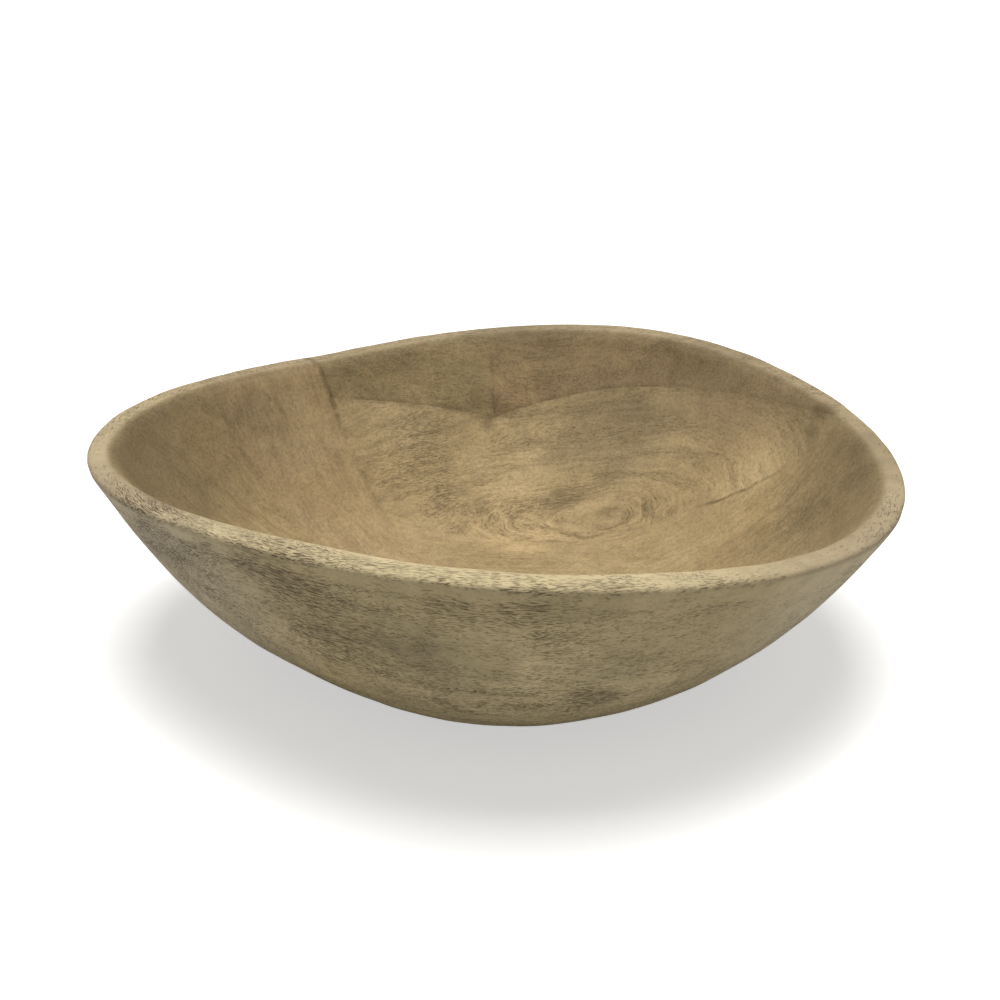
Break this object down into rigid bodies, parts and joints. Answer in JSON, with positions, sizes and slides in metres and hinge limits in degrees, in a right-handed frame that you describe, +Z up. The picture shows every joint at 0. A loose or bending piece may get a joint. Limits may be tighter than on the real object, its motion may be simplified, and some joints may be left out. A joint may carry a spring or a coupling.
{
  "type": "dough bowl",
  "caption": "Hand-carved wooden dough bowl with a wandering, rounded rim, a curved wall and a flat foot, glued up from blocks of pale bleached wood.",
  "frame": {"origin": "on the table, under the middle of the bowl's overall length and width", "axes": "+X along the bowl's long way, +Y to the back where the rim blocks sit, +Z up"},
  "size_m": [0.36, 0.3349, 0.117],
  "materials": {
    "front_board": "matte",
    "left_plank": "matte",
    "centre_board": "matte",
    "back_left_block": "matte",
    "back_right_block": "matte"
  },
  "bodies": {
    "root": {"front_board": "front_board", "left_plank": "left_plank", "centre_board": "centre_board", "back_left_block": "back_left_block", "back_right_block": "back_right_block"}
  },
  "joints": []
}
